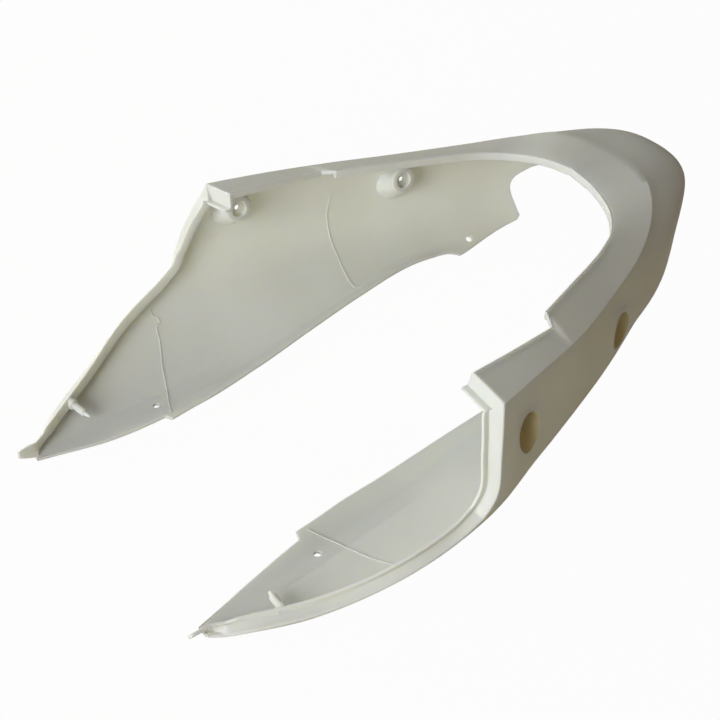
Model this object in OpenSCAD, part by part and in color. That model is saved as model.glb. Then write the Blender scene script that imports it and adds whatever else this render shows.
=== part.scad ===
// Tail fairing of a motorcycle: one thin moulded shell, a horseshoe in plan.
// The legs point forward (-Y), the closed tail is at the rear (+Y) and +Z is up.
// The origin is at the centre of the outline in plan, at the height of the lowest edge.

/* [Overall] */
// Length from the front tips of the side panels to the tail, without the tongues
shell_length = 541; // [520:1:560]
// Width over the widest part of the side panels
shell_width = 368; // [352:1:384]
// Height of the top of the tail
shell_height = 179; // [172:1:186]

/* [Wall] */
// Thickness of the moulded wall
wall = 2.6; // [2.2:0.1:3]
// Height of the turned-down lip along the wide rear part of the top band
lip_rear = 6.5; // [5.5:0.5:9]
// Height of the turned-down lip along the narrow front part of the top band
lip_front = 4.5; // [4:0.5:6]

/* [Rabbet] */
// Depth of the front wall below the surface, along the side panels
rabbet_side = 10.5; // [9:0.5:12]
// Depth of the front wall at the upper corner and across the top band
rabbet_corner = 14; // [12.5:0.5:15]
// Reach of the ledge in front of that wall
ledge_reach = 5; // [4:0.5:6]
// Thickness of the ledge
ledge_wall = 2.2; // [1.8:0.1:2.6]
// Radius of the outer edge of the front wall
edge_round = 1.4; // [1:0.1:1.6]

/* [Bosses] */
// Diameter of the screw bore through the inner end of each boss
boss_bore = 12.4; // [11.4:0.1:13]
// Diameter of the ring at the inner end of each boss
boss_ring = 21.5; // [20:0.5:23]
// Thickness of that ring
ring_wall = 4; // [3:0.5:5]
// Diameter of the open socket in the outer surface
socket_mouth = 31; // [29:0.5:33]
// Thickness of the socket's wall
socket_wall = 2; // [1.6:0.1:2.4]
// Reach of the front bosses inwards from the outer surface
front_boss_reach = 24; // [20:0.5:28]
// Reach of the rear bosses inwards from the outer surface
rear_boss_reach = 28; // [24:0.5:32]

/* [Pins and holes] */
// Diameter of each locating pin's shank
pin_shank = 6; // [5.4:0.2:6.6]
// Diameter of the collar at the root of each pin
pin_collar = 9; // [8:0.5:10]
// Length of each pin in front of the ledge
pin_length = 20; // [17:0.5:23]
// Diameter of the small fixing holes
hole_d = 5.4; // [4.4:0.2:6.4]

/* [Tongues] */
// Length of each tongue in front of the tip
tongue_length = 13; // [10:0.5:16]
// Width of each tongue at its root
tongue_root = 11; // [9:0.5:12]
// Width of each tongue at its end
tongue_end = 6; // [5:0.5:7]

/* [Hidden] */
$fn = 32;

// The stations below were laid out on a shell of this size
drawn_size = [368, 541, 179];
stretch = [shell_width / drawn_size[0], shell_length / drawn_size[1], shell_height / drawn_size[2]];
plan_centre = (shell_length - tongue_length) / 2;
function placed(p) = [p[0] * stretch[0], p[1] * stretch[1] - plan_centre, p[2] * stretch[2]];

// Rails of the outer surface, each a row of stations from the front tip to the middle of the tail.
// A station is [outwards, rearwards, upwards]. In front of the upper corner the upper rails only steer the curve.
RIDGE = [[150, 0, 60], [170, 65, 110], [173, 130, 147], [166.5, 182, 148], [154.5, 237, 149.5],
    [141, 290, 150], [121, 345, 152.5], [98, 400, 157.5], [72, 440, 167], [43.6, 461, 177.5], [0, 469.4, 179]];
FLANK = [[121, 0, 34], [154, 60, 60], [182.9, 120, 113], [177.5, 181, 115], [163, 237, 117],
    [149, 290, 122], [130, 345, 127], [109.5, 400, 135], [84, 453, 149.5], [44.5, 510.4, 167.6], [0, 520, 174.8]];
BULGE = [[119, 0, 12], [151.5, 60, 28], [177, 120, 60], [183.4, 180, 82], [166.5, 237, 85],
    [150.5, 290, 92], [131.5, 345, 98], [109.5, 400, 108], [86.5, 456, 124.6], [41.2, 517.6, 150], [0, 540.4, 152.4]];
TURN = [[115.5, 0, 1.5], [143.5, 60, 10.5], [165, 120, 33], [166, 181, 50], [150, 237, 60],
    [136, 290, 68], [120, 345, 76], [103, 400, 86], [85, 456, 105], [44, 514, 124], [0, 538, 132]];
CREASE = [[109, 0, 0.07], [110.5, 60, 4], [107.5, 120, 10.5], [104.5, 181, 20.5], [101.5, 237, 37],
    [99, 290, 51], [97, 345, 61], [92, 400, 70], [80, 456, 90], [45, 508, 108], [0, 532, 118]];
HEM = [[102, 0, 0.2], [87.5, 60, 4], [75.5, 120, 15.7], [76.6, 181, 28], [79.5, 237, 42],
    [82.5, 290, 54], [85, 345, 63], [81, 400, 64], [74, 456, 77], [42, 500, 97], [0, 524, 106]];
// The inner edge of the top band: the narrow front part, then the wide rear part
BAND_FRONT = [[134, 189, 154], [130.5, 231, 154], [126, 273, 154]];
BAND_REAR = [[114.7, 277, 158.6], [102.6, 314, 160.3], [89.2, 354, 161.3], [81, 374.5, 162.2],
    [70.6, 394.6, 163.9], [51, 413, 167], [26, 421.5, 172], [0, 424, 175]];

// Each run of the panel holds its upper edge, its lower edge and its number of columns.
// An edge is a row of [station, rail] places: the rails count from the ridge (0) to the hem (5).
FLANGE_RUN = [
    [[0, 3.6], [0.12, 3.1], [0.35, 2.6], [0.7, 2.45], [1.12, 2.5], [1.62, 2.6]],
    [[0, 5], [0.15, 5], [0.4, 5], [0.8, 5], [1.2, 4.96], [1.64, 4.88]], 12];
SIDE_RUN = [
    [[1.66, 2.6], [2.05, 2.58], [2.5, 2.5], [2.82, 2.26]],
    [[1.68, 5.08], [2, 5], [2.4, 5], [2.7, 5]], 9];
CORNER_RUN = [
    [[2.87, 2.12], [2.96, 1.65], [3.01, 1.0], [3.08, 0.4], [3.13, 0]],
    [[2.76, 5], [2.9, 5], [3.02, 5], [3.16, 5], [3.3, 5]], 8];
STEP_STATION = 4.72;
LONG_RUN = [
    [[3.2, 0], [3.9, 0], [STEP_STATION, 0]],
    [[3.38, 5], [4, 5], [4.75, 5]], 5];
REAR_LONG_RUN = [
    [[STEP_STATION + 0.05, 0], [5.4, 0], [6, 0], [6.6, 0]],
    [[4.8, 5], [5.4, 5], [6, 5], [6.6, 4.95]], 7];
TAB_RUN = [
    [[6.7, 0], [6.85, 0], [7, 0]],
    [[6.7, 4.97], [6.8, 5.1], [6.92, 5.35]], 3];
HEEL_RUN = [
    [[7.08, 0], [7.35, 0], [7.6, 0]],
    [[6.98, 5.33], [7.5, 5.05], [8.04, 4.84]], 4];
ARCH_RUN = [
    [[7.7, 0], [7.78, 0], [7.9, 0], [8.05, 0], [8.4, 0]],
    [[8.09, 4.61], [8.03, 3.7], [7.98, 2.8], [8.03, 2.35], [8.2, 2.1]], 7];
TAIL_RUN = [
    [[8.6, 0], [9, 0], [9.5, 0], [10, 0]],
    [[8.4, 2.08], [9, 2.1], [9.5, 2.1], [10, 2.1]], 7];
RUNS = [FLANGE_RUN, SIDE_RUN, CORNER_RUN, LONG_RUN, REAR_LONG_RUN, TAB_RUN, HEEL_RUN, ARCH_RUN, TAIL_RUN];
panel_rows = 9;

// Hidden steps between the faces of the panel, the band and the rabbet, and the small round along the ridge
seam = 0.15;
ridge_round = 0.3;

// Places of the sockets, on the outer surface, and the way from each socket to its ring
FRONT_SOCKET = [3.63, 1.03];
REAR_SOCKET = [6.2, 1.3];
FRONT_BOSS_WAY = [-20, -6, 12];
REAR_BOSS_WAY = [-21, -10, 15];
RING_AXIS = [-0.975, -0.14, 0.17];
// Places of the small fixing holes in the lower band of the panel
FRONT_HOLE = [1.7, 4.27];
REAR_HOLE = [7.2, 4.6];
// Places of the pins along the ledge, and the way that they point
PIN_STATION = 7;
PIN_WAY = [-0.97, 0.2, -0.1];

function mirrored(p) = [-p[0], p[1], p[2]];
function unit(a) = a / norm(a);
function reversed(list) = [for (i = [len(list) - 1 : -1 : 0]) list[i]];

// A smooth curve through the points p, at t from 0 to the last point's index
function along(p, t) =
    let (n = len(p) - 1)
    let (i = max(0, min(floor(t), n - 1)))
    let (f = t - i)
    let (b = p[i], c = p[i + 1])
    let (a = i > 0 ? p[i - 1] : 2 * b - c)
    let (d = i < n - 1 ? p[i + 2] : 2 * c - b)
    b + (c - a) * f / 2 + (2 * a - 5 * b + 4 * c - d) * f * f / 2
    + (3 * b - a - 3 * c + d) * f * f * f / 2;
function sampled(p, count) = [for (i = [0 : count - 1]) along(p, i / (count - 1) * (len(p) - 1))];

// The rails go one station past the middle, so that the tail is round there
RAILS = [for (rail = [RIDGE, FLANK, BULGE, TURN, CREASE, HEM])
    [for (p = concat(rail, [mirrored(rail[len(rail) - 2])])) placed(p)]];
function skin(w) = along([for (rail = RAILS) along(rail, w[0])], w[1]);
function skin_normal(w) =
    let (e = 0.02)
    unit(cross(skin(w + [0, e]) - skin(w - [0, e]), skin(w + [e, 0]) - skin(w - [e, 0])));

COLUMNS = [for (run = RUNS)
    let (upper = sampled(run[0], run[2]), lower = sampled(run[1], run[2]))
    each [for (i = [0 : run[2] - 1]) [upper[i], lower[i]]]];
flange_columns = FLANGE_RUN[2] + SIDE_RUN[2] + CORNER_RUN[2];

// The edge that the rabbet follows: up the front of the panel, then inwards across the top band
BAND_CORNER = placed(BAND_FRONT[0]);
EDGE = concat([for (i = [0 : flange_columns - 1]) skin(COLUMNS[i][0])], [BAND_CORNER + [-seam, 0, 0]]);
EDGE_NORMALS = [for (i = [0 : flange_columns - 1]) skin_normal(COLUMNS[i][0])];
BAND_NORMAL = unit(cross([0, 1, 0], BAND_CORNER - EDGE[flange_columns - 1]));

// The normals before and after each point of the edge, then the ways inwards and forwards there
function normal_before(i) = i < flange_columns ? EDGE_NORMALS[i] : BAND_NORMAL;
function normal_after(i) = i < flange_columns - 1 ? EDGE_NORMALS[i] : BAND_NORMAL;
function edge_way(i) = unit(EDGE[i + 1] - EDGE[i]);
function way_before(i) = i > 0 ? edge_way(i - 1) : edge_way(0);
function way_after(i) = i < len(EDGE) - 1 ? edge_way(i) : edge_way(len(EDGE) - 2);
function mitred(a, b) = (a + b) / (1 + a * b);
function inward(i) = -mitred(normal_before(i), normal_after(i));
function forward(i) = mitred(unit(cross(normal_before(i), way_before(i))), unit(cross(normal_after(i), way_after(i))));
function rabbet_depth(i) =
    let (t = max(0, min(1, (i - FLANGE_RUN[2] - SIDE_RUN[2] + 2) / CORNER_RUN[2])))
    rabbet_side + (rabbet_corner - rabbet_side) * t;

// The panel's section: its rounded edge, its outer surface and its inner surface.
// The edge stands a seam behind the rabbet's front wall.
function column_places(c) = [for (j = [0 : panel_rows]) c[0] + (c[1] - c[0]) * j / panel_rows];
function upward(u) = unit(skin([u, 0]) - skin([u, 0.02]));
function panel_section(i) =
    let (places = column_places(COLUMNS[i]), flange = i < flange_columns)
    let (p = skin(places[0]), d = -skin_normal(places[0]), r = flange ? edge_round : ridge_round)
    let (f = flange ? forward(i) : upward(places[0][0]), gap = flange ? seam : 0)
    let (outer = [for (j = [1 : panel_rows]) skin(places[j])])
    let (inner = [for (j = [1 : panel_rows]) outer[j - 1] - wall * skin_normal(places[j])])
    concat([for (q = [0, -0.3 * r, -r]) p + wall * d + (q - gap) * f],
        inner, reversed(outer),
        [for (q = [[0, -r], [0.3 * r, -0.3 * r], [r, 0]]) p + q[0] * d + (q[1] - gap) * f]);

// A closed skin over a row of closed sections that all have the same number of points
module loft(sections) {
    count = len(sections[0]);
    last = (len(sections) - 1) * count;
    sides = [for (i = [0 : len(sections) - 2]) for (j = [0 : count - 1])
        let (k = (j + 1) % count)
        let (a = i * count + j, b = i * count + k, c = a + count, d = b + count)
        each [[a, b, d], [a, d, c]]];
    first_cap = [for (j = [0 : count / 2 - 2]) let (k = count - 1 - j)
        each [[j, k, j + 1], [j + 1, k, k - 1]]];
    last_cap = [for (j = [0 : count / 2 - 2]) let (k = count - 1 - j)
        each [[last + j, last + j + 1, last + k], [last + j + 1, last + k - 1, last + k]]];
    polyhedron([for (s = sections) each s], concat(sides, first_cap, last_cap));
}

// Both halves of a loft that starts at a front end and stops at the middle of the tail
module mirrored_loft(near) {
    far = [for (s = near) [for (p = s) mirrored(p)]];
    loft(concat(near, [for (i = [len(far) - 2 : -1 : 0]) far[i]]));
}

module panel() {
    mirrored_loft([for (i = [0 : len(COLUMNS) - 1]) panel_section(i)]);
}

// The top band, from the ridge to its inner edge, with the lip turned down there.
// Its stations are the panel's own columns behind the upper corner, and its outer end is rooted in the panel's wall.
BAND_STATIONS = [for (i = [flange_columns - 1 : len(COLUMNS) - 1]) COLUMNS[i][0][0]];
function band_place(u) =
    let (front = u <= STEP_STATION, rail = front ? BAND_FRONT : BAND_REAR)
    let (first = front ? BAND_STATIONS[0] : STEP_STATION, last = front ? STEP_STATION : 10)
    along(rail, (len(rail) - 1) * (u - first) / (last - first));
function band_section(i) =
    let (u = BAND_STATIONS[i], down = [0, 0, -1], behind = i == 0 ? [0, seam, 0] : [0, 0, 0])
    let (ridge = skin([u, 0]) + seam * down + behind, inner = placed(band_place(u)) + seam * down + behind)
    let (root = skin([u, 0.12]), depth = -wall * skin_normal([u, 0.12]))
    let (lip = u <= STEP_STATION ? lip_front : lip_rear)
    let (top = [for (t = [0, 0.33, 0.67, 1]) ridge + (inner - ridge) * t])
    let (out = unit([ridge[0] - inner[0], ridge[1] - inner[1], 0]))
    concat([root + 0.3 * depth + behind], top, [inner + lip * down],
        [inner + lip * down + wall * out, inner + wall * (out + down)],
        [for (j = [2, 1, 0]) top[j] + wall * down],
        [root + 0.7 * depth + behind]);

module top_band() {
    mirrored_loft([for (i = [0 : len(BAND_STATIONS) - 1]) band_section(i)]);
}

// The rabbet: a front wall behind the rounded edge, and the thin ledge that the next panel laps over.
// Near the front tip the ledge narrows, and the wall turns into the tongue.
RABBET_FIRST = 3;
function reach(i) = ledge_reach * min(1, (i - RABBET_FIRST + 1) / 2);
function rabbet_section(i) =
    let (p = EDGE[i], d = inward(i), f = forward(i), depth = rabbet_depth(i), r = edge_round)
    [for (q = [[r, -0.7 * wall], [r, 0], [depth - ledge_wall, 0], [depth - ledge_wall, reach(i)],
        [depth, reach(i)], [depth, -wall], [wall + 1, -wall], [r, -0.9 * wall]])
        p + q[0] * d + q[1] * f];

// A tongue is a flat tab that stands steeply and carries the wall on past the front tip
tongue_set_back = 2;
TONGUE_ROOT = placed([105, tongue_set_back, 1.5]);
TONGUE_WAY = [0.05, -0.99, 0.05];
TONGUE_RISE = [0.57, 0.12, 0.81];
TONGUE_OUTWARDS = unit(cross(TONGUE_RISE, TONGUE_WAY));
function tongue_section(along_way, width) =
    let (low = TONGUE_ROOT + along_way * TONGUE_WAY + (tongue_root - width) / 2 * TONGUE_RISE, half = wall / 2)
    [for (q = [[0, 0], [0, half], [0.75, half], [1, half], [1, -half], [0.75, -half], [0.3, -half], [0, -half]])
        low + q[0] * width * TONGUE_RISE + q[1] * TONGUE_OUTWARDS];

module rabbet() {
    full = tongue_length + tongue_set_back;
    root = tongue_section(0, tongue_root);
    first = rabbet_section(RABBET_FIRST);
    steps = 4;
    loft(concat([tongue_section(full, tongue_end - 2), tongue_section(full - 1, tongue_end)],
        [for (i = [0 : steps - 1]) root + (first - root) * i / steps],
        [for (i = [RABBET_FIRST : len(EDGE) - 1]) rabbet_section(i)]));
}

// The places that the bosses are made from: the mouth in the outer surface and the centre of the ring's end face
function boss_end(boss) = skin(boss[0]) + boss[2] * unit(boss[1]);
BOSSES = [
    [FRONT_SOCKET, FRONT_BOSS_WAY, front_boss_reach],
    [REAR_SOCKET, REAR_BOSS_WAY, rear_boss_reach]
];

// Puts its children at a point with their +Z along a way
module facing(point, way) {
    w = unit(way);
    translate(point) rotate([0, acos(w[2]), atan2(w[1], w[0])]) children();
}

// A ring of points round a centre, square to a way
cone_sides = 20;
function round_section(centre, way, r) =
    let (w = unit(way), a = unit(cross(w, [0, 1, 0])), b = cross(a, w))
    [for (i = [0 : cone_sides - 1]) let (t = 360 * i / cone_sides) centre + r * cos(t) * a + r * sin(t) * b];

// A slanted cone from the outer surface to the ring: grow is added to its radius all along
module slanted_cone(boss, grow, outer_end, inner_end) {
    mouth = skin(boss[0]);
    end = boss_end(boss);
    way = unit(end - mouth);
    facing_in = -skin_normal(boss[0]);
    loft([
        round_section(mouth - outer_end * way, facing_in, socket_mouth / 2 + grow),
        round_section(end - inner_end / (way * unit(RING_AXIS)) * way, RING_AXIS, boss_ring / 2 - 1.5 * socket_wall + grow)
    ]);
}

module boss(boss) {
    end = boss_end(boss);
    facing(end - ring_wall * RING_AXIS, RING_AXIS) cylinder(h = ring_wall, d = boss_ring);
}

module boss_cuts(boss) {
    end = boss_end(boss);
    facing(end - (ring_wall + 1) * RING_AXIS, RING_AXIS) cylinder(h = ring_wall + 2, d = boss_bore);
}

// A locating pin on the ledge: a collar, a shank and a waisted point
module pin() {
    collar = 4;
    point = 5;
    at = EDGE[PIN_STATION] + rabbet_depth(PIN_STATION) * inward(PIN_STATION);
    facing(at - 2 * PIN_WAY, PIN_WAY) {
        cylinder(h = 2 + collar, d = pin_collar);
        cylinder(h = 2 + pin_length - point, d = pin_shank);
        translate([0, 0, 2 + pin_length - point]) cylinder(h = point, d1 = pin_shank - 2, d2 = pin_shank / 3);
    }
}

module fixing_hole(place) {
    depth = 6 * wall;
    facing(skin(place) - depth / 2 * skin_normal(place), skin_normal(place)) cylinder(h = depth, d = hole_d);
}

module both_sides() {
    children();
    mirror([1, 0, 0]) children();
}

// The thin shell with its sockets open. The resize keeps it at its own size.
module shell() {
    resize([0, 0, 0]) difference() {
        union() {
            panel();
            top_band();
            both_sides() {
                rabbet();
                for (b = BOSSES) slanted_cone(b, socket_wall, -1.5, ring_wall / 2);
            }
        }
        both_sides() for (b = BOSSES) slanted_cone(b, 0, 2 * wall, ring_wall);
    }
}

module tail_fairing() {
    color("gainsboro") difference() {
        union() {
            shell();
            both_sides() {
                for (b = BOSSES) boss(b);
                pin();
            }
        }
        both_sides() {
            for (b = BOSSES) boss_cuts(b);
            fixing_hole(FRONT_HOLE);
            fixing_hole(REAR_HOLE);
        }
    }
}

tail_fairing();
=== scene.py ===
"""Motorcycle tail fairing, one moulded shell, dressed and lit for the photograph's view.

The shell is drawn again from the same stations as the solid model, with finer faces, rounded
edges and the moulding's own witness lines. Lengths are millimetres until a mesh is made.
"""

import logging
import math
from dataclasses import dataclass, field
from enum import Enum

import bpy
import numpy as np
from mathutils import Matrix, Vector

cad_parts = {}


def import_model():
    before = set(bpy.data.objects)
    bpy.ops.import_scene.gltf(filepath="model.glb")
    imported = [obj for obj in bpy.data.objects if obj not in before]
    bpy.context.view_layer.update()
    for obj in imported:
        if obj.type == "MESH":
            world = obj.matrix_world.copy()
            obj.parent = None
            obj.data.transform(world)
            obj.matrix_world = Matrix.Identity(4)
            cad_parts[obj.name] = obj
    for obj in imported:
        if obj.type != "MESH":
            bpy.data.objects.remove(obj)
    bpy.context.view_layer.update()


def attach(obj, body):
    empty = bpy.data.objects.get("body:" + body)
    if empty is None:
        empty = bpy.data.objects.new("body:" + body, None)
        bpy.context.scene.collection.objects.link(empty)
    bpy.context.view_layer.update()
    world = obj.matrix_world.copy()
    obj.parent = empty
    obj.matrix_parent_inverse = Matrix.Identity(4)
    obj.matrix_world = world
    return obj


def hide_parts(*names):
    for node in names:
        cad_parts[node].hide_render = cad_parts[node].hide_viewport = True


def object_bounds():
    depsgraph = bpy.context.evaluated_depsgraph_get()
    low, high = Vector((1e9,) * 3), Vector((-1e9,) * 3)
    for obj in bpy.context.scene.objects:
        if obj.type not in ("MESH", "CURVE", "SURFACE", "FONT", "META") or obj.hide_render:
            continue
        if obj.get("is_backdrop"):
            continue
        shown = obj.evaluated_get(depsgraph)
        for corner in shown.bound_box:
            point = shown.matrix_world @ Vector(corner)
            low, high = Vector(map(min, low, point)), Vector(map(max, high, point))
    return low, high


LOG = logging.getLogger("tail_fairing")
METRE = 0.001
NODE = "tail_fairing"
BODY = "root"


# Curves and meshes


def unit(a: np.ndarray) -> np.ndarray:
    """Returns the vectors in a, each made one unit long."""
    return a / np.linalg.norm(a, axis=-1, keepdims=True)


def mirrored(a: np.ndarray) -> np.ndarray:
    """Returns the points in a on the other side of the middle plane."""
    return a * np.array([-1.0, 1.0, 1.0])


def along(points: np.ndarray, t: np.ndarray) -> np.ndarray:
    """Follows a smooth curve through points.

    Args:
        points: The curve's points, on the first axis.
        t: Places along it, from 0 to the last point's index.

    Returns:
        One point for each place.
    """
    last = len(points) - 1
    t = np.asarray(t, float)
    i = np.clip(np.floor(t), 0, last - 1).astype(int)
    f = (t - i).reshape(t.shape + (1,) * (points.ndim - 1))
    b, c = points[i], points[i + 1]
    first = (i > 0).reshape(f.shape)
    final = (i < last - 1).reshape(f.shape)
    a = np.where(first, points[np.maximum(i - 1, 0)], 2 * b - c)
    d = np.where(final, points[np.minimum(i + 2, last)], 2 * c - b)
    return (
        b
        + (c - a) * f / 2
        + (2 * a - 5 * b + 4 * c - d) * f**2 / 2
        + (3 * b - a - 3 * c + d) * f**3 / 2
    )


def sampled(points: list[list[float]], count: int) -> np.ndarray:
    """Returns count points evenly along the curve through points."""
    p = np.array(points, float)
    return along(p, np.linspace(0, len(p) - 1, count))


def loft(name: str, sections: np.ndarray) -> bpy.types.Object:
    """Skins a row of closed sections that have the same number of points, and caps both ends.

    Args:
        name: The object's name.
        sections: Points in millimetres, as (section, point, 3). Point j faces point -1 - j.

    Returns:
        The closed solid, in metres.
    """
    rows, count = sections.shape[:2]
    grid = np.arange(rows * count).reshape(rows, count)
    nxt = np.roll(grid, -1, axis=1)
    quads = np.stack([grid[:-1], nxt[:-1], nxt[1:], grid[1:]], axis=-1).reshape(-1, 4)
    half = np.arange(count // 2 - 1)
    back = count - 1 - half
    cap = np.stack([half, back, back - 1, half + 1], axis=-1)
    faces = np.vstack([quads, cap, (grid[-1][0] + cap)[:, ::-1]])
    return solid(name, sections.reshape(-1, 3), faces.tolist())


def solid(name: str, points: np.ndarray, faces: list[list[int]]) -> bpy.types.Object:
    """Makes an object from points in millimetres, with its faces turned outwards.

    Args:
        name: The object's name.
        points: Points in millimetres.
        faces: Rows of indices into points.

    Returns:
        The new object, linked to the scene.
    """
    mesh = bpy.data.meshes.new(name)
    mesh.from_pydata((points * METRE).tolist(), [], faces)
    mesh.validate()
    made = bpy.data.objects.new(name, mesh)
    bpy.context.scene.collection.objects.link(made)
    if signed_volume(mesh) < 0:
        mesh.flip_normals()
    return made


def signed_volume(mesh: bpy.types.Mesh) -> float:
    """Measures a closed mesh.

    Args:
        mesh: The mesh.

    Returns:
        Its volume, which is negative where its faces are turned inwards.
    """
    mesh.calc_loop_triangles()
    count = len(mesh.loop_triangles)
    corners = np.empty(count * 3, int)
    mesh.loop_triangles.foreach_get("vertices", corners)
    points = np.empty(len(mesh.vertices) * 3)
    mesh.vertices.foreach_get("co", points)
    a, b, c = points.reshape(-1, 3)[corners.reshape(-1, 3)].transpose(1, 0, 2)
    return float(np.einsum("ij,ij->i", a, np.cross(b, c)).sum() / 6)


class Cut(Enum):
    """How one solid is combined with another."""

    ADD = "UNION"
    REMOVE = "DIFFERENCE"


def combine(base: bpy.types.Object, tools: list[bpy.types.Object], how: Cut) -> None:
    """Adds the tools to base, or removes them from it, and deletes them.

    Args:
        base: The solid that is kept.
        tools: Closed solids.
        how: Whether they are added or removed.
    """
    for tool in tools:
        step = base.modifiers.new("combine", "BOOLEAN")
        step.solver = "MANIFOLD"
        step.operation = how.value
        step.material_mode = "TRANSFER"
        step.object = tool
        shape = bpy.data.meshes.new_from_object(
            base.evaluated_get(bpy.context.evaluated_depsgraph_get())
        )
        base.modifiers.clear()
        base.data = shape
        bpy.data.objects.remove(tool)


def lathe(name: str, profile: list[tuple[float, float]], at: np.ndarray, way: np.ndarray,
          sides: int = 64) -> bpy.types.Object:
    """Turns a closed profile round a line.

    Args:
        name: The object's name.
        profile: Points as (radius, height), from the axis at one end to the axis at the other.
        at: The point at height 0, in millimetres.
        way: The direction of increasing height.
        sides: Number of facets round the line.

    Returns:
        The turned solid.
    """
    w = unit(np.asarray(way, float))
    a = unit(np.cross(w, [0.0, 0.3, 1.0]))
    b = np.cross(w, a)
    turn = np.linspace(0, 2 * math.pi, sides, endpoint=False)
    ring = np.cos(turn)[:, None] * a + np.sin(turn)[:, None] * b
    inner = profile[1:-1]
    points = [at + h * w + r * ring for r, h in inner]
    points = np.vstack(points + [[at + profile[0][1] * w], [at + profile[-1][1] * w]])
    rings = len(inner)
    first, last = rings * sides, rings * sides + 1
    faces = []
    for j in range(sides):
        k = (j + 1) % sides
        faces.append([first, k, j])
        faces.append([last, (rings - 1) * sides + j, (rings - 1) * sides + k])
        for i in range(rings - 1):
            faces.append([i * sides + j, i * sides + k, (i + 1) * sides + k, (i + 1) * sides + j])
    return solid(name, points, faces)


# The outer surface


@dataclass
class OuterSkin:
    """The shell's outer surface, drawn through six rails from the front tip to the tail."""

    half_length: float = 264.0
    crease_rail: int = 4
    crease_width: float = 0.5
    crease_share: float = 1.0
    reading: float = 0.02
    ridge: list[list[float]] = field(default_factory=lambda: [
        [150, 0, 60], [170, 65, 110], [173, 130, 147], [166.5, 182, 148], [154.5, 237, 149.5],
        [141, 290, 150], [121, 345, 152.5], [98, 400, 157.5], [72, 440, 167], [43.6, 461, 177.5],
        [0, 469.4, 179]])
    flank: list[list[float]] = field(default_factory=lambda: [
        [121, 0, 34], [154, 60, 60], [182.9, 120, 113], [177.5, 181, 115], [163, 237, 117],
        [149, 290, 122], [130, 345, 127], [109.5, 400, 135], [84, 453, 149.5], [44.5, 510.4, 167.6],
        [0, 520, 174.8]])
    bulge: list[list[float]] = field(default_factory=lambda: [
        [119, 0, 12], [151.5, 60, 28], [177, 120, 60], [183.4, 180, 82], [166.5, 237, 85],
        [150.5, 290, 92], [131.5, 345, 98], [109.5, 400, 108], [86.5, 456, 124.6], [41.2, 517.6, 150],
        [0, 540.4, 152.4]])
    turn: list[list[float]] = field(default_factory=lambda: [
        [115.5, 0, 1.5], [143.5, 60, 10.5], [165, 120, 33], [166, 181, 50], [150, 237, 60],
        [136, 290, 68], [120, 345, 76], [103, 400, 86], [85, 456, 105], [44, 514, 124],
        [0, 538, 132]])
    crease: list[list[float]] = field(default_factory=lambda: [
        [109, 0, 0.07], [110.5, 60, 4], [107.5, 120, 10.5], [104.5, 181, 20.5], [101.5, 237, 37],
        [99, 290, 51], [97, 345, 61], [92, 400, 70], [80, 456, 90], [45, 508, 108],
        [0, 532, 118]])
    hem: list[list[float]] = field(default_factory=lambda: [
        [102, 0, 0.2], [87.5, 60, 4], [75.5, 120, 15.7], [76.6, 181, 28], [79.5, 237, 42],
        [82.5, 290, 54], [85, 345, 63], [81, 400, 64], [74, 456, 77], [42, 500, 97],
        [0, 524, 106]])

    def __post_init__(self) -> None:
        """Lines the rails up so that both directions are read together."""
        rails = np.array([self.ridge, self.flank, self.bulge, self.turn, self.crease, self.hem], float)
        rails = np.concatenate([rails, mirrored(rails[:, -2:-1])], axis=1)
        rails[..., 1] -= self.half_length
        self.stations = rails.transpose(1, 0, 2)

    def at(self, u: np.ndarray, v: np.ndarray) -> np.ndarray:
        """Finds points of the surface.

        Args:
            u: Stations from the front tip, 0, to the middle of the tail, 10.
            v: Rails from the ridge, 0, to the hem, 5.

        Returns:
            Points in millimetres.
        """
        u, v = np.broadcast_arrays(np.asarray(u, float), np.asarray(v, float))
        rows = along(self.stations, u.ravel())
        last = rows.shape[1] - 1
        w = v.ravel()
        i = np.clip(np.floor(w), 0, last - 1).astype(int)
        n = np.arange(len(w))
        f = (w - i)[:, None]
        b, c = rows[n, i], rows[n, i + 1]
        a = np.where((i > 0)[:, None], rows[n, np.maximum(i - 1, 0)], 2 * b - c)
        d = np.where((i < last - 1)[:, None], rows[n, np.minimum(i + 2, last)], 2 * c - b)
        p = (b + (c - a) * f / 2 + (2 * a - 5 * b + 4 * c - d) * f**2 / 2
             + (3 * b - a - 3 * c + d) * f**3 / 2)
        # Beside the crease the surface leans towards the flat strips between its rails.
        close = np.clip(1 - np.abs(w - self.crease_rail) / self.crease_width, 0, 1)[:, None]
        p += self.crease_share * close**2 * (b + (c - b) * f - p)
        return p.reshape(u.shape + (3,))

    def normal(self, u: np.ndarray, v: np.ndarray) -> np.ndarray:
        """Finds the outward directions at places of the surface.

        Args:
            u: Stations.
            v: Rails.

        Returns:
            Unit vectors.
        """
        e = self.reading
        u, v = np.asarray(u, float), np.asarray(v, float)
        return unit(np.cross(self.at(u, v + e) - self.at(u, v - e), self.at(u + e, v) - self.at(u - e, v)))


@dataclass(frozen=True)
class Run:
    """A stretch of the panel between an upper and a lower edge, each a row of [station, rail]."""

    upper: list[list[float]]
    lower: list[list[float]]
    columns: int

    def places(self) -> np.ndarray:
        """Returns the two ends of each column, as (column, end, 2)."""
        return np.stack([sampled(self.upper, self.columns), sampled(self.lower, self.columns)], axis=1)


# The moulded shell


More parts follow.
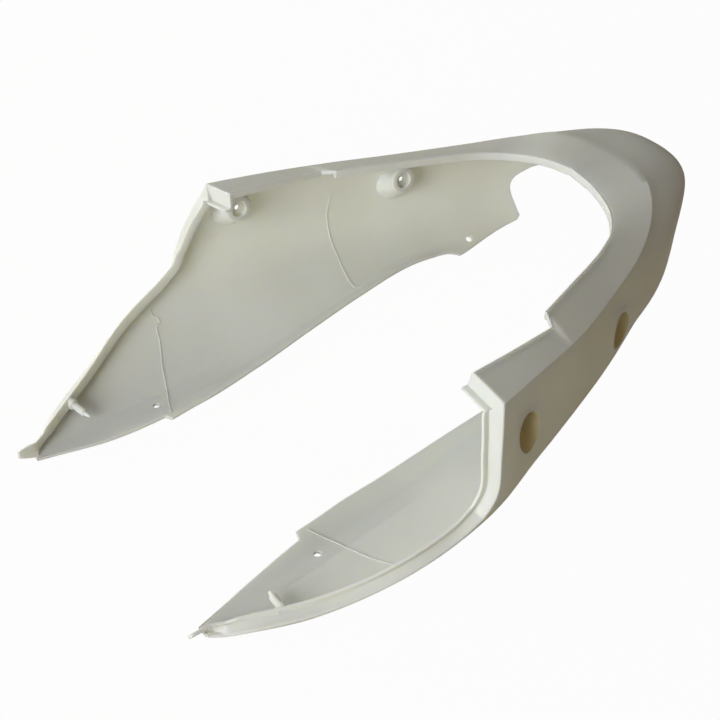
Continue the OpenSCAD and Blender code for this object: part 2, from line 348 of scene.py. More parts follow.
@dataclass
class PanelForm:
    """The side panels' own sizes, in millimetres, and the runs that their columns follow."""

    skin: OuterSkin
    wall: float = 2.6
    rows: int = 44
    fineness: float = 4.0
    edge_round: float = 1.4
    ridge_round: float = 0.5
    hem_round: float = 0.8
    seam: float = 0.02
    probe: float = 0.1
    skip_share: float = 0.16
    most_skipped: float = 0.2
    step_station: float = 4.72
    rabbet_side: float = 10.5
    rabbet_corner: float = 14.0

    def __post_init__(self) -> None:
        """Samples the runs and finds the frame along the edge that the rabbet follows."""
        step = self.step_station
        flange = [
            Run([[0, 3.6], [0.12, 3.1], [0.35, 2.6], [0.7, 2.45], [1.12, 2.5], [1.62, 2.6]],
                [[0, 5], [0.15, 5], [0.4, 5], [0.8, 5], [1.2, 4.96], [1.64, 4.88]], self.fine(12)),
            Run([[1.66, 2.6], [2.05, 2.58], [2.5, 2.5], [2.82, 2.26]],
                [[1.68, 5.08], [2, 5], [2.4, 5], [2.7, 5]], self.fine(9)),
            Run([[2.87, 2.12], [2.96, 1.65], [3.01, 1.0], [3.08, 0.4], [3.13, 0]],
                [[2.76, 5], [2.9, 5], [3.02, 5], [3.16, 5], [3.3, 5]], self.fine(8)),
        ]
        rest = [
            Run([[3.2, 0], [3.9, 0], [step, 0]], [[3.38, 5], [4, 5], [4.75, 5]], self.fine(5)),
            Run([[step + 0.02, 0], [5.4, 0], [6, 0], [6.6, 0]],
                [[4.8, 5], [5.4, 5], [6, 5], [6.6, 4.95]], self.fine(7)),
            Run([[6.7, 0], [6.85, 0], [7, 0]], [[6.7, 4.97], [6.8, 5.1], [6.92, 5.35]], self.fine(3)),
            Run([[7.08, 0], [7.35, 0], [7.6, 0]], [[6.98, 5.33], [7.5, 5.05], [8.04, 4.84]], self.fine(4)),
            Run([[7.7, 0], [7.78, 0], [7.9, 0], [8.05, 0], [8.4, 0]],
                [[8.09, 4.61], [8.03, 3.7], [7.98, 2.8], [8.03, 2.35], [8.2, 2.1]], self.fine(7)),
            Run([[8.6, 0], [9, 0], [9.5, 0], [10, 0]],
                [[8.4, 2.08], [9, 2.1], [9.5, 2.1], [10, 2.1]], self.fine(7)),
        ]
        self.columns = np.concatenate([run.places() for run in flange + rest])
        self.flange_columns = sum(run.columns for run in flange)
        self.corner_columns = flange[2].columns
        upper = self.columns[: self.flange_columns, 0]
        self.edge = self.skin.at(upper[:, 0], upper[:, 1])
        self.edge_normal = self.skin.normal(upper[:, 0], upper[:, 1])

    def fine(self, columns: int) -> int:
        """Returns how many columns stand for a run of the solid model's columns."""
        return int(columns * self.fineness)


@dataclass
class SidePanels:
    """Both side panels and the tail between them, as one closed wall with rounded edges."""

    form: PanelForm

    def forward(self) -> np.ndarray:
        """Finds the direction out of the panel's front or upper edge.

        Returns:
            One unit vector for each column.
        """
        form = self.form
        way = unit(np.gradient(form.edge, axis=0))
        front = unit(np.cross(form.edge_normal, way))
        u = form.columns[form.flange_columns:, 0, 0]
        up = unit(form.skin.at(u, 0 * u) - form.skin.at(u, 0 * u + form.skin.reading))
        return np.concatenate([front, up])

    def build(self) -> bpy.types.Object:
        """Builds the panels.

        Returns:
            Their closed solid.
        """
        form = self.form
        count = len(form.columns)
        flange = np.arange(count) < form.flange_columns
        radius = np.where(flange, form.edge_round, form.ridge_round)[:, None]
        first, last = form.columns[:, 0], form.columns[:, 1]
        ends = [form.skin.at(*(first + (last - first) * t).T) for t in (0.0, form.probe)]
        # The first row starts below the rounded edge, 1.6 of its radii down the column.
        stride = np.linalg.norm(ends[1] - ends[0], axis=1)[:, None]
        skipped = np.minimum(form.skip_share * radius / stride, form.most_skipped)
        t = skipped + (1 - skipped) * np.linspace(0, 1, form.rows + 1)
        places = first[:, None] + (last - first)[:, None] * t[..., None]
        outer = form.skin.at(places[..., 0], places[..., 1])
        normal = form.skin.normal(places[..., 0], places[..., 1])
        inner = outer - form.wall * normal
        down = -self.forward()
        gap = np.where(flange, form.seam, 0.0)[:, None]
        depth = -form.skin.normal(first[:, 0], first[:, 1])
        top = ends[0]
        arc = np.linspace(math.pi / 2, 0, 6)
        rounded = [top + radius * (1 - math.sin(a)) * depth + (radius * (1 - math.cos(a)) + gap) * down
                   for a in arc]
        inside = [top + form.wall * depth + (q * radius + gap) * down for q in (0.0, 0.2, 0.4, 0.6, 0.8, 1.0)]
        low = unit(outer[:, -1] - outer[:, -2])
        r = form.hem_round
        hem_out = [outer[:, -1] - r * (1 - math.sin(a)) * low - r * (1 - math.cos(a)) * normal[:, -1]
                   for a in np.linspace(0, math.pi / 2, 4)]
        hem_in = [inner[:, -1] - r * (1 - math.sin(a)) * low + r * (1 - math.cos(a)) * normal[:, -1]
                  for a in np.linspace(0, math.pi / 2, 4)]
        outside = [outer[:, j] for j in range(1, form.rows)]
        back = [inner[:, j] for j in range(1, form.rows)]
        loop = rounded[::-1] + outside + hem_out + hem_in[::-1] + back[::-1] + inside[::-1]
        near = np.stack(loop, axis=1)
        return loft("side_panels", np.concatenate([near, mirrored(near[-2::-1])]))


@dataclass
class TopBand:
    """The band round the seat, from the ridge to its inner edge, with the lip turned down there."""

    form: PanelForm
    front: list[list[float]] = field(default_factory=lambda: [
        [134, 189, 154], [130.5, 231, 154], [126, 273, 154]])
    rear: list[list[float]] = field(default_factory=lambda: [
        [114.7, 277, 158.6], [102.6, 314, 160.3], [89.2, 354, 161.3], [81, 374.5, 162.2],
        [70.6, 394.6, 163.9], [51, 413, 167], [26, 421.5, 172], [0, 424, 175]])
    lip_front: float = 4.5
    lip_rear: float = 6.5
    rows: int = 8
    rounding: float = 0.7
    root_rail: float = 0.12
    groove: tuple[tuple[float, float], ...] = ((2.3, 0), (2.0, 0.5), (1.5, 0.5), (1.2, 0))
    step_ends: tuple[float, float] = (0.04, 0.94)
    step_lip: float = 0.1

    def with_step(self, row: np.ndarray, step: int) -> np.ndarray:
        """Adds two places just inside both ends of the step, where the lip thins out."""
        before, after = row[step - 1], row[step]
        return np.insert(row, step, [before + (after - before) * t for t in self.step_ends], axis=0)

    def inner_edge(self, u: np.ndarray) -> np.ndarray:
        """Follows the band's inner edge.

        Args:
            u: Stations of the ridge.

        Returns:
            The point of the inner edge beside each station.
        """
        form = self.form
        first = form.columns[form.flange_columns - 1, 0, 0]
        front = along(np.array(self.front), (len(self.front) - 1) * (u - first) / (form.step_station - first))
        rear = along(np.array(self.rear),
                     (len(self.rear) - 1) * (u - form.step_station) / (10 - form.step_station))
        p = np.where((u <= form.step_station)[:, None], front, rear)
        return p - [0, form.skin.half_length, 0]

    def build(self) -> bpy.types.Object:
        """Builds the band.

        Returns:
            Its closed solid.
        """
        form = self.form
        u = form.columns[form.flange_columns - 1:, 0, 0]
        zero = 0 * u
        seat = np.array([0, 0, -form.seam])
        ridge, inner = form.skin.at(u, zero) + seat, self.inner_edge(u) + seat
        root = form.skin.at(u, zero + self.root_rail)
        depth = -form.wall * form.skin.normal(u, zero + self.root_rail)
        lip = np.where(u <= form.step_station, self.lip_front, self.lip_rear)[:, None]
        step = int(np.count_nonzero(u <= form.step_station))
        rows = (ridge, inner, root, depth, lip)
        ridge, inner, root, depth, lip = (self.with_step(row, step) for row in rows)
        lip[step:step + 2] = form.wall + self.step_lip
        room = np.clip((lip - form.wall) / (self.lip_front - form.wall), 0.05, 1)
        out = unit((ridge - inner) * [1, 1, 0])
        down = np.array([0, 0, -1.0])
        r = self.rounding
        top = [ridge + (inner - ridge) * t for t in np.linspace(0, 1, self.rows)]
        arc = [inner + r * (1 - math.sin(a)) * out + r * (1 - math.cos(a)) * down
               for a in np.linspace(0, math.pi / 2, 4)]
        tip = inner + lip * down
        groove = [inner + a * out + b * down for a, b in self.groove]
        under = [inner + (form.wall + 0.25 * k) * out + form.wall * down for k in (3, 4, 5, 6)]
        under += [top[j] + form.wall * down for j in range(self.rows - 2, -1, -1)]
        turn = ((0, 2), (0, 1.2), (0.1, 0.5), (0.5, 0.1))
        corner = [inner + form.wall * (out + down) + room * r * (a * out + b * down) for a, b in turn]
        loop = ([root + 0.3 * depth] + top[:-1] + groove + arc + [tip]
                + [tip + form.wall * out] + corner + under + [root + 0.7 * depth])
        near = np.stack(loop, axis=1)
        near = np.concatenate([self.rounded_front(near[0]), near[1:]])
        return loft("top_band", np.concatenate([near, mirrored(near[-2::-1])]))

    def rounded_front(self, section: np.ndarray) -> np.ndarray:
        """Rounds the band's front edge.

        Args:
            section: The band's foremost section.

        Returns:
            The sections that take its place, from the foremost one backwards.
        """
        radius, seam = self.form.edge_round, self.form.seam
        steps = []
        for a in np.linspace(math.pi / 2, 0, 7):
            moved = section + [0, seam + radius * (1 - math.sin(a)), 0]
            upper = slice(1, self.rows + 4 + len(self.groove))
            moved[upper] -= [0, 0, radius * (1 - math.cos(a))]
            steps.append(moved)
        return np.array(steps)


@dataclass
class Rabbet:
    """The front wall behind the panel's rounded edge, the thin ledge before it, and the tongue.

    Near the front tip the ledge narrows and the wall turns into the tongue, a flat tab that
    stands steeply and carries the wall on past the tip.
    """

    form: PanelForm
    band: TopBand
    ledge_reach: float = 5.0
    ledge_wall: float = 2.2
    rounding: float = 0.6
    first_column: int = 3
    tip_steps: int = 14
    tongue_root: tuple[float, float, float] = (105, 2, 1.5)
    tongue_way: tuple[float, float, float] = (0.05, -0.99, 0.05)
    tongue_rise: tuple[float, float, float] = (0.57, 0.12, 0.81)
    tongue_length: float = 15.0
    tongue_widths: tuple[float, float] = (11.0, 6.0)

    def depth(self, count: int) -> np.ndarray:
        """Finds the front wall's depth, which grows at the corner.

        Args:
            count: Number of places along the edge.

        Returns:
            The depth at each place.
        """
        form = self.form
        start = form.flange_columns - form.corner_columns * 1.25
        t = np.clip((np.arange(count) - start) / form.corner_columns, 0, 1)
        return form.rabbet_side + (form.rabbet_corner - form.rabbet_side) * t

    def outline(self, depth: np.ndarray, reach: np.ndarray) -> list[tuple[np.ndarray, np.ndarray]]:
        """Draws the rabbet's section.

        Args:
            depth: The front wall's depth at each place along the edge.
            reach: The ledge's reach at each place.

        Returns:
            The section's corners, as depths below the surface and distances in front of the edge.
        """
        r, wall, q = self.form.edge_round, self.form.wall, self.rounding
        foot = depth - self.ledge_wall
        zero = 0 * depth
        return [(zero + r, zero - 0.7 * wall), (zero + r, zero),
                (foot - 1.2, zero), (foot - 0.35, zero + 0.35), (foot, zero + 1.2),
                (foot, reach - q), (foot + 0.3 * q, reach - 0.3 * q), (foot + q, reach),
                (depth - q, reach), (depth - 0.3 * q, reach - 0.3 * q), (depth, reach - q),
                (depth, zero + 1.2), (depth, zero - wall + q), (depth - q, zero - wall),
                (zero + wall + 1, zero - wall), (zero + r, zero - 0.9 * wall)]

    def tongue(self, length: float, width: float) -> np.ndarray:
        """Draws the tongue's section, with its corners in the order of the rabbet's outline.

        Args:
            length: Distance from the tongue's root.
            width: The tongue's width there.

        Returns:
            The section's corners.
        """
        rise, way = np.array(self.tongue_rise), np.array(self.tongue_way)
        outwards = unit(np.cross(rise, way))
        low = np.array(self.tongue_root) - [0, self.form.skin.half_length, 0]
        low = low + length * way + (self.tongue_widths[0] - width) / 2 * rise
        half, q = self.form.wall / 2, self.rounding / self.tongue_widths[0]
        corners = [(0, 0), (0, 1), (0.5, 1), (0.6, 1), (0.7, 1), (1 - q, 1), (1 - 0.3 * q, 0.7), (1, 0.5),
                   (1, -0.5), (1 - 0.3 * q, -0.7), (1 - q, -1), (0.75, -1), (0.55, -1), (0.45, -1), (0.3, -1),
                   (0, -1)]
        return np.array([low + a * width * rise + b * half * outwards for a, b in corners])

    def build(self) -> bpy.types.Object:
        """Builds the rabbet and the tongue of the right side.

        Returns:
            Their closed solid.
        """
        form = self.form
        inner = np.array(self.band.front[0]) - [form.seam, form.skin.half_length, 0]
        corner = form.edge[-1]
        across = np.linspace(corner, inner, 9)
        band_way = unit(inner - corner)
        band_normal = unit(np.cross([0, 1.0, 0], band_way))
        sides = len(form.edge)
        edge = np.concatenate([form.edge, across])
        normal = np.concatenate([form.edge_normal, np.tile(band_normal, (len(across), 1))])
        way = np.concatenate([unit(np.gradient(form.edge, axis=0)), np.tile(band_way, (len(across), 1))])
        front = unit(np.cross(normal, way))
        count = len(edge)
        start = int(self.first_column * form.fineness)
        depth = self.depth(count)
        reach = self.ledge_reach * np.clip(0.5 + (np.arange(count) - start) / (2 * form.fineness), 0, 1)
        sections = np.stack([edge - d[:, None] * normal + f[:, None] * front
                             for d, f in self.outline(depth, reach)], axis=1)
        self.mitre(sections[:sides], way[:sides], corner, way[sides - 1] + band_way, 1)
        self.mitre(sections[sides:], way[sides:], corner, way[sides - 1] + band_way, -1)
        root = self.tongue(0, self.tongue_widths[0])
        turn = [root + (sections[start] - root) * t for t in np.linspace(0, 1, self.tip_steps)[:-1]]
        end = self.tongue_widths[1]
        tab = [self.tongue(self.tongue_length, end - 2), self.tongue(self.tongue_length - 0.5, end - 0.8),
               self.tongue(self.tongue_length - 1.5, end), self.tongue(self.tongue_length / 2, end + 3)]
        return loft("rabbet", np.concatenate([tab, turn, sections[start:]]))

    def mitre(self, sections: np.ndarray, way: np.ndarray, corner: np.ndarray, across: np.ndarray,
              side: int) -> None:
        """Slides the points that have passed the corner's middle plane back on to it.

        Args:
            sections: The sections on one side of the corner, changed in place.
            way: The edge's direction at each of them.
            corner: The corner itself.
            across: The plane's normal, towards the band.
            side: 1 for the sections before the corner and -1 for those after it.
        """
        past = (sections - corner) @ across
        slide = past / (way @ across)[:, None]
        sections -= np.where(side * past > 0, slide, 0)[..., None] * way[:, None]


@dataclass
class ScrewBoss:
    """An open socket in the outer surface that tapers to a ring with a bore at its inner end.

    A thin web with the screw's throat stands between the bore and the socket.
    """

    skin: OuterSkin
    place: tuple[float, float]
    lean: tuple[float, float, float]
    reach: float
    mouth: float = 31.0
    socket_wall: float = 2.0
    ring: float = 21.5
    ring_wall: float = 4.0
    bore: float = 12.4
    throat: float = 4.2
    web: float = 1.6
    past: float = 5.2
    axis: tuple[float, float, float] = (-0.975, -0.14, 0.17)
    sides: int = 64
    # The material with painted shade that the socket's hollow takes.
    finish: bpy.types.Material | None = None

    def ends(self) -> tuple[np.ndarray, np.ndarray, np.ndarray]:
        """Finds the boss's two ends.

        Returns:
            The mouth's centre, the ring's centre and the way from one to the other.
        """
        mouth = self.skin.at(self.place[0], self.place[1])
        way = unit(np.array(self.lean, float))
        return mouth, mouth + self.reach * way, way

    def circle(self, centre: np.ndarray, axis: np.ndarray, radius: float) -> np.ndarray:
        """Draws a circle.

        Args:
            centre: Its centre.
            axis: The direction it is square to.
            radius: Its radius.

        Returns:
            Points round the centre.
        """
        a = unit(np.cross(axis, [0.0, 1.0, 0.0]))
        b = np.cross(a, axis)
        t = np.linspace(0, 2 * math.pi, self.sides, endpoint=False)
        return centre + radius * (np.cos(t)[:, None] * a + np.sin(t)[:, None] * b)

    def cone(self, grow: float, outer_end: float, inner_end: float) -> bpy.types.Object:
        """Builds the slanted cone.

        Args:
            grow: What is added to its radius.
            outer_end: How far it reaches outwards past the surface.
            inner_end: How far before the ring's end face it stops.

        Returns:
            The closed cone.
        """
        mouth, end, way = self.ends()
        axis = unit(np.array(self.axis))
        facing = -self.skin.normal(self.place[0], self.place[1])
        stop = end - inner_end / float(way @ axis) * way
        first = self.circle(mouth - outer_end * way, facing, self.mouth / 2 + grow)
        last = self.circle(stop, axis, self.ring / 2 - 1.5 * self.socket_wall + grow)
        t = np.linspace(0, 1, 9)[:, None, None]
        return loft("socket", first + (last - first) * t)

    def solids(self) -> list[bpy.types.Object]:
        """Builds what is added to the shell.

        Returns:
            The cone's wall and the ring.
        """
        _, end, _ = self.ends()
        axis = np.array(self.axis)
        r, h, q = self.ring / 2, self.ring_wall, 0.6
        profile = [(0, -h), (r, -h), (r, -q), (r - 0.3 * q, -0.3 * q), (r - q, 0), (0, 0)]
        return [self.cone(self.socket_wall, -1.5, self.ring_wall / 2),
                lathe("ring", profile, end, axis, self.sides)]

    def cuts(self) -> list[bpy.types.Object]:
        """Builds what is taken from the shell.

        Returns:
            The socket, in the copy of the material with painted shade, and the bore.
        """
        _, end, _ = self.ends()
        axis = np.array(self.axis)
        r, q, floor = self.bore / 2, 0.5, -self.ring_wall
        throat, low = self.throat / 2, floor - self.web - 1
        profile = [(0, low), (throat, low), (throat, floor), (r, floor),
                   (r, -q), (r + q, 0), (r + q, 1), (0, 1)]
        painted_shade_hollow = self.cone(0.0, self.past, self.ring_wall + self.web)
        # The hollow's faces take the darker, yellower copy of the material: painted shade.
        painted_shade_hollow.data.materials.append(self.finish)
        return [painted_shade_hollow, lathe("bore", profile, end, axis, self.sides)]


@dataclass
class LocatingPin:
    """A pin on the ledge's inner face: a collar, a shank and a thin point."""

    form: PanelForm
    station: int = 7
    way: tuple[float, float, float] = (-0.97, 0.2, -0.1)
    shank: float = 6.0
    collar: float = 9.0
    collar_height: float = 4.0
    length: float = 20.0
    point: float = 5.0
    sides: int = 48

    def build(self) -> bpy.types.Object:
        """Builds the pin of the right side.

        Returns:
            Its turned solid, with its foot in the ledge.
        """
        form = self.form
        i = int(self.station * form.fineness)
        at = form.edge[i] - form.rabbet_side * form.edge_normal[i]
        c, s, h = self.collar / 2, self.shank / 2, self.length - self.point
        top = self.collar_height
        profile = [(0, -2), (c, -2), (c, top - 0.8), (c - 0.8, top), (s + 0.4, top), (s, top + 0.5),
                   (s, h - 0.6), (s - 0.6, h), (s - 1, h), (s / 2.6, self.length - 0.5),
                   (s / 3.4, self.length), (0, self.length)]
        return lathe("locating_pin", profile, at, np.array(self.way), self.sides)


@dataclass
class FixingHole:
    """A small round hole through the panel's lower band."""

    skin: OuterSkin
    place: tuple[float, float]
    diameter: float = 5.4
    depth: float = 15.6
    sides: int = 40

    def cut(self) -> bpy.types.Object:
        """Builds what makes the hole.

        Returns:
            A cylinder, square to the surface.
        """
        normal = self.skin.normal(self.place[0], self.place[1])
        at = self.skin.at(self.place[0], self.place[1]) - self.depth / 2 * normal
        r = self.diameter / 2
        return lathe("hole", [(0, 0), (r, 0), (r, self.depth), (0, self.depth)], at, normal, self.sides)


@dataclass
class WitnessLine:
    """A thin raised line that the mould has left on the inner surface of one side."""

    skin: OuterSkin
    wall: float
    places: list[tuple[float, float]]
    side: int = 1
    width: float = 1.1
    crest: float = 0.484
    height: float = 0.7
    root: float = 0.5
    end_width: float = 0.35
    widening: float = 1.5
    fineness: int = 6

    def build(self) -> bpy.types.Object:
        """Builds the line along its places on the surface.

        Returns:
            Its closed solid, with its foot in the wall.
        """
        at = np.array(self.places)
        t = np.linspace(0, len(at) - 1, (len(at) - 1) * self.fineness + 1)
        u, v = (np.interp(t, np.arange(len(at)), column) for column in at.T)
        outwards = self.skin.normal(u, v)
        middle = self.skin.at(u, v) - self.wall * outwards
        across = unit(np.cross(unit(np.gradient(middle, axis=0)), outwards))
        thin = np.clip(np.minimum(t, t[-1] - t) * self.widening + self.end_width, 0, 1)[:, None]
        foot, crest = self.width / 2, self.crest / 2
        corners = [(-foot, -self.root), (foot, -self.root), (crest, self.height), (-crest, self.height)]
        sections = np.stack([middle + a * thin * across - b * outwards for a, b in corners], axis=1)
        return loft("witness_line", sections * [self.side, 1, 1])


# Finishes


def linear(code: str) -> tuple[float, float, float, float]:
    """Turns an sRGB hex colour into a linear one.

    Args:
        code: The colour, as six hex digits.

    Returns:
        Red, green, blue and an alpha of 1.
    """
    parts = [int(code[i: i + 2], 16) / 255 for i in (0, 2, 4)]
    r, g, b = (c / 12.92 if c <= 0.04045 else ((c + 0.055) / 1.055) ** 2.4 for c in parts)
    return r, g, b, 1.0


def add_node(tree: bpy.types.NodeTree, kind: str, links: dict[str, bpy.types.NodeSocket] | None = None,
             values: dict[str, object] | None = None, **settings: object) -> bpy.types.Node:
    """Adds a node with its settings, input values and links.

    Args:
        tree: The material's or world's node tree.
        kind: The node's type.
        links: Sockets that feed the named inputs.
        values: Values of the named inputs.
        settings: The node's own properties.

    Returns:
        The new node.
    """
    made = tree.nodes.new(kind)
    for name, value in settings.items():
        setattr(made, name, value)
    for name, value in (values or {}).items():
        made.inputs[name].default_value = value
    for name, socket in (links or {}).items():
        tree.links.new(socket, made.inputs[name])
    return made


@dataclass(frozen=True)
class MouldedAbs:
    """Injection-moulded ABS, unpainted and off-white: a low sheen that lets a little light through."""

    name: str = "moulded_abs"
    colour: str = "E9ECE7"
    aged: str = "E1E2D8"
    roughness: float = 0.4
    translucency: float = 1.0
    depth_mm: float = 3.4
    reach: tuple[float, float, float] = (1.0, 0.92, 0.7)
    blotch_mm: float = 60.0
    grain_mm: float = 1.2
    grain_depth_mm: float = 0.3
    grain_strength: float = 0.12
    smoother: float = 0.05
    rougher: float = 0.06
    ior: float = 1.53

    def material(self) -> bpy.types.Material:
        """Builds the material.

        Returns:
            The material.
        """
        made = bpy.data.materials.new(self.name)
        made.use_nodes = True
        tree = made.node_tree
        tree.nodes.clear()
        place = add_node(tree, "ShaderNodeTexCoord")
        # Slow cooling leaves faint clouds of warmer and cooler white across a moulding.
        clouds = add_node(tree, "ShaderNodeTexNoise", {"Vector": place.outputs["Object"]},
                          {"Scale": 1 / (self.blotch_mm * METRE), "Detail": 3.0})
        tint = add_node(tree, "ShaderNodeMix", {"Factor": clouds.outputs["Fac"]}, data_type="RGBA")
        tint.inputs["A"].default_value = linear(self.colour)
        tint.inputs["B"].default_value = linear(self.aged)
        # The tool's fine spark finish, drawn coarser than life so that it shows.
        grain = add_node(tree, "ShaderNodeTexNoise", {"Vector": place.outputs["Object"]},
                         {"Scale": 1 / (self.grain_mm * METRE), "Detail": 2.0})
        bump = add_node(tree, "ShaderNodeBump", {"Height": grain.outputs["Fac"]},
                        {"Strength": self.grain_strength, "Distance": self.grain_depth_mm * METRE})
        sheen = add_node(tree, "ShaderNodeMapRange", {"Value": clouds.outputs["Fac"]},
                         {"To Min": self.roughness - self.smoother, "To Max": self.roughness + self.rougher})
        shader = add_node(tree, "ShaderNodeBsdfPrincipled",
                          {"Base Color": tint.outputs["Result"], "Roughness": sheen.outputs["Result"],
                           "Normal": bump.outputs["Normal"]},
                          {"IOR": self.ior, "Subsurface Weight": self.translucency,
                           "Subsurface Radius": self.reach, "Subsurface Scale": self.depth_mm * METRE})
        add_node(tree, "ShaderNodeOutputMaterial", {"Surface": shader.outputs["BSDF"]})
        return made


# The whole fairing


@dataclass
class TailFairing:
    """The one-piece shell with its bands, rabbets, bosses, pins and holes."""

    finish: MouldedAbs = field(default_factory=MouldedAbs)
    # The sockets' hollows look olive in their own shade, so they take a darker, yellower copy of the
    # material: painted shade.
    socket_painted_shade: MouldedAbs = field(default_factory=lambda: MouldedAbs(
        name="painted_shade_abs", colour="D8CE9E", aged="D2C792", translucency=0.5))
    sharp_angle: float = 32.0

    def build(self) -> bpy.types.Object:
        """Builds the shell, dresses it and gives it to the frame.

        Returns:
            The shell.
        """
        skin = OuterSkin()
        form = PanelForm(skin)
        band = TopBand(form)
        shell = SidePanels(form).build()
        shell.data.materials.append(self.finish.material())
        LOG.info("side panels: %d faces", len(shell.data.polygons))
        combine(shell, [band.build()], Cut.ADD)
        # A darker, yellower copy of the material, painted shade for the sockets' hollows.
        painted_shade_hollow = self.socket_painted_shade.material()
        front_boss = ScrewBoss(skin, place=(3.63, 1.03), lean=(-20, -6, 12), reach=24.0, finish=painted_shade_hollow)
        rear_boss = ScrewBoss(skin, place=(6.2, 1.3), lean=(-21, -10, 15), reach=28.0, finish=painted_shade_hollow)
        bosses = [front_boss, rear_boss]
        right = [Rabbet(form, band).build(), LocatingPin(form).build()]
        for boss in bosses:
            right += boss.solids()
        self.both_sides(shell, right, Cut.ADD)
        combine(shell, [line.build() for line in self.witness_lines(form)], Cut.ADD)
        LOG.info("with bands, rabbets, pins and bosses: %d faces", len(shell.data.polygons))
        front_hole = FixingHole(skin, (1.7, 4.27))
        rear_hole = FixingHole(skin, (7.2, 4.6))
        cuts = [front_hole.cut(), rear_hole.cut()]
        for boss in bosses:
            cuts += boss.cuts()
        self.both_sides(shell, cuts, Cut.REMOVE)
        self.smooth(shell)
        shell.name = shell.data.name = "moulded_fairing"
        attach(shell, BODY)
        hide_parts(NODE)
        LOG.info("moulded fairing: %d faces", len(shell.data.polygons))
        return shell

    def witness_lines(self, form: PanelForm) -> list[WitnessLine]:
        """Lists the raised lines.

        Args:
            form: The side panels' sizes.

        Returns:
            Two on the left side, with a small tab, and one on the right.
        """
        return [WitnessLine(form.skin, form.wall, places, side) for side, places in (
            (-1, [(2.37, 2.82), (2.36, 3.05), (2.41, 3.1), (2.4, 3.17), (2.33, 3.2), (2.27, 3.37),
                  (2.18, 3.52), (2.1, 3.65), (1.97, 3.95), (1.93, 4.12), (1.86, 4.3), (1.73, 4.9)]),
            (-1, [(5.22, 1.15), (5.2, 1.79), (5.2, 2.5), (5.18, 3.15), (5.08, 3.86), (5.09, 4.2)]),
            (-1, [(5.06, 4.1), (5.12, 4.25), (5.18, 4.4)]),
            (1, [(1.8, 4.92), (1.88, 4.6), (1.97, 4.21), (2.0, 4.0), (2.03, 3.64), (2.1, 3.1)]))]

    def both_sides(self, shell: bpy.types.Object, right: list[bpy.types.Object], how: Cut) -> None:
        """Combines each solid and its mirror image with the shell.

        Args:
            shell: The shell.
            right: The solids of the right side.
            how: Whether they are added or removed.
        """
        for piece in right:
            other = piece.copy()
            other.data = piece.data.copy()
            other.data.transform(Matrix.Diagonal((-1, 1, 1, 1)))
            other.data.flip_normals()
            bpy.context.scene.collection.objects.link(other)
            combine(shell, [piece, other], how)

    def smooth(self, shell: bpy.types.Object) -> None:
        """Shades the shell smooth, apart from its true corners.

        Args:
            shell: The shell.
        """
        mesh = shell.data
        mesh.polygons.foreach_set("use_smooth", [True] * len(mesh.polygons))
        mesh.set_sharp_from_angle(angle=math.radians(self.sharp_angle))


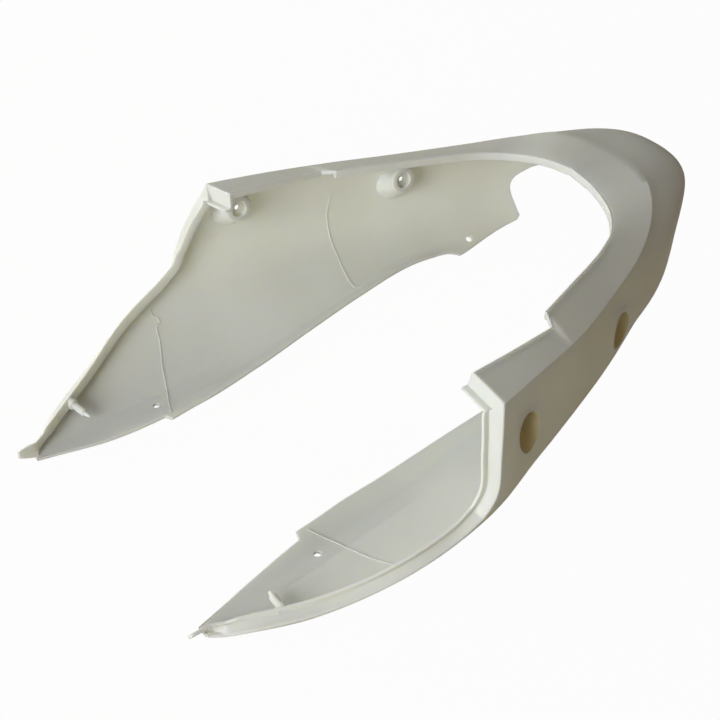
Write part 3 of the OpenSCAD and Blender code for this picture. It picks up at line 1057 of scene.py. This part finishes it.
@dataclass
class Studio:
    """The pale floor, the soft lights and the camera at the photograph's place."""

    lens: float = 72.5
    sensor: float = 36.0
    nearest: float = 0.01
    farthest: float = 20.0
    place: tuple[float, float, float] = (0.632463, -0.665037, 0.708585)
    right: tuple[float, float, float] = (0.643763, 0.759079, 0.096788)
    up: tuple[float, float, float] = (-0.499416, 0.320939, 0.804724)
    aim_height: float = 0.08
    floor_gap: float = 0.002
    floor_size: float = 6.0
    floor_colour: str = "E9E0D2"
    floor_white: float = 0.97
    bright_way: tuple[float, float, float] = (-0.8, -0.6, 0.0)
    bright_colour: str = "F2F6FB"
    bright_side: float = 0.40
    turning: float = 0.9
    dim_colour: str = "E6C49C"
    dim_side: float = 0.12

    def camera(self) -> None:
        """Makes the camera."""
        data = bpy.data.cameras.new("camera")
        data.lens, data.sensor_width = self.lens, self.sensor
        data.clip_start, data.clip_end = self.nearest, self.farthest
        eye = bpy.data.objects.new("camera", data)
        right, up = Vector(self.right), Vector(self.up)
        back = right.cross(up)
        turn = Matrix((right, up, back)).transposed().to_4x4()
        eye.matrix_world = Matrix.Translation(self.place) @ turn
        bpy.context.scene.collection.objects.link(eye)
        bpy.context.scene.camera = eye

    def floor(self) -> None:
        """Makes the plain pale floor, which the camera sees as white with a trace of shadow."""
        mesh = bpy.data.meshes.new("floor")
        half, low = self.floor_size / 2, -self.floor_gap
        square = [(-half, -half, low), (half, -half, low), (half, half, low), (-half, half, low)]
        mesh.from_pydata(square, [], [[0, 1, 2, 3]])
        made = bpy.data.objects.new("floor", mesh)
        bpy.context.scene.collection.objects.link(made)
        paper = bpy.data.materials.new("white_paper")
        paper.use_nodes = True
        tree = paper.node_tree
        tree.nodes.clear()
        path = add_node(tree, "ShaderNodeLightPath")
        matt = add_node(tree, "ShaderNodeBsdfDiffuse", values={"Color": linear(self.floor_colour)})
        white = add_node(tree, "ShaderNodeEmission", values={"Color": (1, 1, 1, 1), "Strength": 1.0})
        share = add_node(tree, "ShaderNodeMath", {0: path.outputs["Is Camera Ray"]}, {1: self.floor_white},
                         operation="MULTIPLY")
        both = add_node(tree, "ShaderNodeMixShader",
                        {0: share.outputs[0], 1: matt.outputs[0], 2: white.outputs[0]})
        add_node(tree, "ShaderNodeOutputMaterial", {"Surface": both.outputs[0]})
        mesh.materials.append(paper)
        made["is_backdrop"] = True

    def world(self) -> None:
        """Makes the surroundings: a white backdrop for the camera and a plain soft light for the object."""
        world = bpy.data.worlds.new("studio")
        bpy.context.scene.world = world
        world.use_nodes = True
        tree = world.node_tree
        tree.nodes.clear()
        path = add_node(tree, "ShaderNodeLightPath")
        # The studio is brighter and cooler on the object's left than on its right.
        place = add_node(tree, "ShaderNodeTexCoord")
        side = add_node(tree, "ShaderNodeVectorMath", {0: place.outputs["Generated"]}, {1: self.bright_way},
                        operation="DOT_PRODUCT")
        share = add_node(tree, "ShaderNodeMapRange", {"Value": side.outputs["Value"]},
                         {"From Min": -self.turning, "From Max": self.turning},
                         interpolation_type="SMOOTHSTEP")
        glow = add_node(tree, "ShaderNodeMix", {"Factor": share.outputs["Result"]}, data_type="RGBA")
        glow.inputs["A"].default_value = [c * self.dim_side for c in linear(self.dim_colour)]
        glow.inputs["B"].default_value = [c * self.bright_side for c in linear(self.bright_colour)]
        dim = add_node(tree, "ShaderNodeBackground", {"Color": glow.outputs["Result"]}, {"Strength": 1.0})
        white = add_node(tree, "ShaderNodeBackground", values={"Color": (1, 1, 1, 1), "Strength": 1.0})
        both = add_node(tree, "ShaderNodeMixShader",
                        {0: path.outputs["Is Camera Ray"], 1: dim.outputs[0], 2: white.outputs[0]})
        add_node(tree, "ShaderNodeOutputWorld", {"Surface": both.outputs[0]})

    def lamp(self, name: str, at: tuple[float, float, float], size: float, power: float, colour: str) -> None:
        """Adds a soft square light that faces the object.

        Args:
            name: The light's name.
            at: Its place, in metres.
            size: Its width, in metres.
            power: Its power, in watts.
            colour: Its sRGB colour.
        """
        data = bpy.data.lights.new(name, "AREA")
        data.shape, data.size, data.energy = "SQUARE", size, power
        data.color = linear(colour)[:3]
        made = bpy.data.objects.new(name, data)
        made.location = at
        made.rotation_mode = "QUATERNION"
        made.rotation_quaternion = (Vector((0, 0, self.aim_height)) - Vector(at)).to_track_quat("-Z", "Y")
        bpy.context.scene.collection.objects.link(made)

    def build(self) -> None:
        """Sets the whole studio up."""
        self.camera()
        self.floor()
        self.world()
        self.lamp("front_light", at=(0.4, -1.95, 0.56), size=1.2, power=29.0, colour="F8FAFF")
        self.lamp("left_light", at=(-1.9, -0.3, 0.35), size=1.0, power=17.5, colour="FFFBEE")
        view = bpy.context.scene.view_settings
        view.view_transform = "Standard"


def corners() -> list[list[float]]:
    """Returns the shown object's lowest and highest corners."""
    return [list(c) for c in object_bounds()]


def main() -> None:
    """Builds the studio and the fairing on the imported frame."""
    logging.basicConfig(level=logging.INFO, format="%(name)s: %(message)s")
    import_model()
    Studio().build()
    TailFairing().build()


if __name__ == "__main__":
    main()
